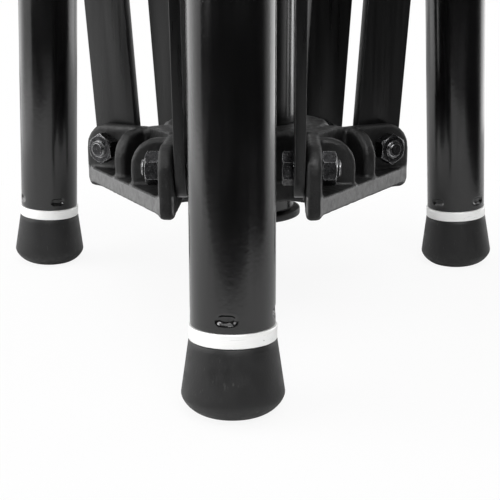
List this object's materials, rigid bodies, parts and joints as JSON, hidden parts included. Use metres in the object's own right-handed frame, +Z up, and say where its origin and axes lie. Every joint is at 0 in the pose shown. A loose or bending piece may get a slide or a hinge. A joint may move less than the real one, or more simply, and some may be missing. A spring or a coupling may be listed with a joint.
{
  "type": "folding tripod stand",
  "caption": "Folding tripod stand with tube legs on rubber feet, paired flat braces on a cast hub, a sliding leg collar and a clamped telescopic mast.",
  "frame": {"origin": "on the floor, at the centre of the folded stand's box; the column axis stands a quarter of the feet's radius behind it, at x = 0", "axes": "+Z up along the column and mast; -Y towards the front leg; +X to the right as seen from the front"},
  "size_m": [0.3502, 0.3098, 1.6471],
  "materials": {
    "gloss_black_paint": "gloss black powder coat",
    "black_cast_iron": "satin black over a grainy casting",
    "black_cast_alloy": "satin black over a casting",
    "satin_black_bar": "satin black",
    "dark_zinc": "dark zinc",
    "bright_ring": "bright, lightly marked",
    "grey_rubber": "matte dark grey",
    "black_plastic": "matte",
    "grey_nylon": "matte"
  },
  "bodies": {
    "column": {"column_tube": "gloss_black_paint", "column_end_cap": "black_plastic", "brace_hub": "black_cast_iron", "mast_clamp": "black_cast_alloy", "mast_bush": "grey_nylon", "hub_bolt_front_a": "dark_zinc", "hub_nut_front_a": "dark_zinc", "hub_bolt_front_b": "dark_zinc", "hub_nut_front_b": "dark_zinc", "hub_bolt_right_a": "dark_zinc", "hub_nut_right_a": "dark_zinc", "hub_bolt_right_b": "dark_zinc", "hub_nut_right_b": "dark_zinc", "hub_bolt_left_a": "dark_zinc", "hub_nut_left_a": "dark_zinc", "hub_bolt_left_b": "dark_zinc", "hub_nut_left_b": "dark_zinc"},
    "brace_front": {"brace_bar_front_a": "satin_black_bar", "brace_bar_front_b": "satin_black_bar"},
    "leg_front": {"leg_tube_front": "gloss_black_paint", "leg_top_front": "black_cast_alloy", "brace_sleeve_front": "black_cast_alloy", "foot_insert_front": "bright_ring", "rubber_foot_front": "grey_rubber", "knee_bolt_front": "dark_zinc", "knee_nut_front": "dark_zinc"},
    "brace_right": {"brace_bar_right_a": "satin_black_bar", "brace_bar_right_b": "satin_black_bar"},
    "leg_right": {"leg_tube_right": "gloss_black_paint", "leg_top_right": "black_cast_alloy", "brace_sleeve_right": "black_cast_alloy", "foot_insert_right": "bright_ring", "rubber_foot_right": "grey_rubber", "knee_bolt_right": "dark_zinc", "knee_nut_right": "dark_zinc"},
    "brace_left": {"brace_bar_left_a": "satin_black_bar", "brace_bar_left_b": "satin_black_bar"},
    "leg_left": {"leg_tube_left": "gloss_black_paint", "leg_top_left": "black_cast_alloy", "brace_sleeve_left": "black_cast_alloy", "foot_insert_left": "bright_ring", "rubber_foot_left": "grey_rubber", "knee_bolt_left": "dark_zinc", "knee_nut_left": "dark_zinc"},
    "collar": {"leg_collar": "black_cast_alloy", "collar_liner": "grey_nylon", "collar_bolt_front": "dark_zinc", "collar_bolt_right": "dark_zinc", "collar_bolt_left": "dark_zinc", "collar_nut_front": "dark_zinc", "collar_nut_right": "dark_zinc", "collar_nut_left": "dark_zinc"},
    "collar_knob": {"collar_knob_grip": "black_plastic", "collar_knob_stud": "dark_zinc"},
    "mast": {"mast_tube": "gloss_black_paint", "mast_guide": "grey_nylon", "mast_spigot": "dark_zinc"},
    "mast_knob": {"mast_knob_grip": "black_plastic", "mast_knob_stud": "dark_zinc"}
  },
  "joints": [
    {"name": "fold_front", "type": "hinge", "parent": "column", "child": "brace_front", "pos_m": [0, -0.03139, 0.098], "axis": [1, 0, 0], "range_deg": [0, 35]},
    {"name": "knee_front", "type": "hinge", "parent": "brace_front", "child": "leg_front", "pos_m": [0, -0.07768, 0.75988], "axis": [-1, 0, 0], "range_deg": [0, 70]},
    {"name": "fold_right", "type": "hinge", "parent": "column", "child": "brace_right", "pos_m": [0.06495, 0.0811, 0.098], "axis": [-0.5, 0.866, 0], "range_deg": [0, 35]},
    {"name": "knee_right", "type": "hinge", "parent": "brace_right", "child": "leg_right", "pos_m": [0.10504, 0.10425, 0.75988], "axis": [0.5, -0.866, 0], "range_deg": [0, 70]},
    {"name": "fold_left", "type": "hinge", "parent": "column", "child": "brace_left", "pos_m": [-0.06495, 0.0811, 0.098], "axis": [-0.5, -0.866, 0], "range_deg": [0, 35]},
    {"name": "knee_left", "type": "hinge", "parent": "brace_left", "child": "leg_left", "pos_m": [-0.10504, 0.10425, 0.75988], "axis": [0.5, 0.866, 0], "range_deg": [0, 70]},
    {"name": "collar_pivot", "type": "hinge", "parent": "leg_front", "child": "collar", "pos_m": [0, -0.03139, 1.42177], "axis": [1, 0, 0], "range_deg": [0, 35]},
    {"name": "collar_knob_turn", "type": "hinge", "parent": "collar", "child": "collar_knob", "pos_m": [0, 0.10221, 1.44777], "axis": [0, 1, 0], "range_deg": [0, 360]},
    {"name": "mast_slide", "type": "slide", "parent": "column", "child": "mast", "axis": [0, 0, 1], "range_m": [0, 1.05]},
    {"name": "mast_knob_turn", "type": "hinge", "parent": "column", "child": "mast_knob", "pos_m": [0, 0.09791, 1.50177], "axis": [0, 1, 0], "range_deg": [0, 360]}
  ],
  "couplings": [
    {"joint": "knee_front", "follows": "fold_front", "ratio": 2},
    {"joint": "fold_right", "follows": "fold_front", "ratio": 1},
    {"joint": "knee_right", "follows": "fold_front", "ratio": 2},
    {"joint": "fold_left", "follows": "fold_front", "ratio": 1},
    {"joint": "knee_left", "follows": "fold_front", "ratio": 2},
    {"joint": "collar_pivot", "follows": "fold_front", "ratio": 1}
  ]
}
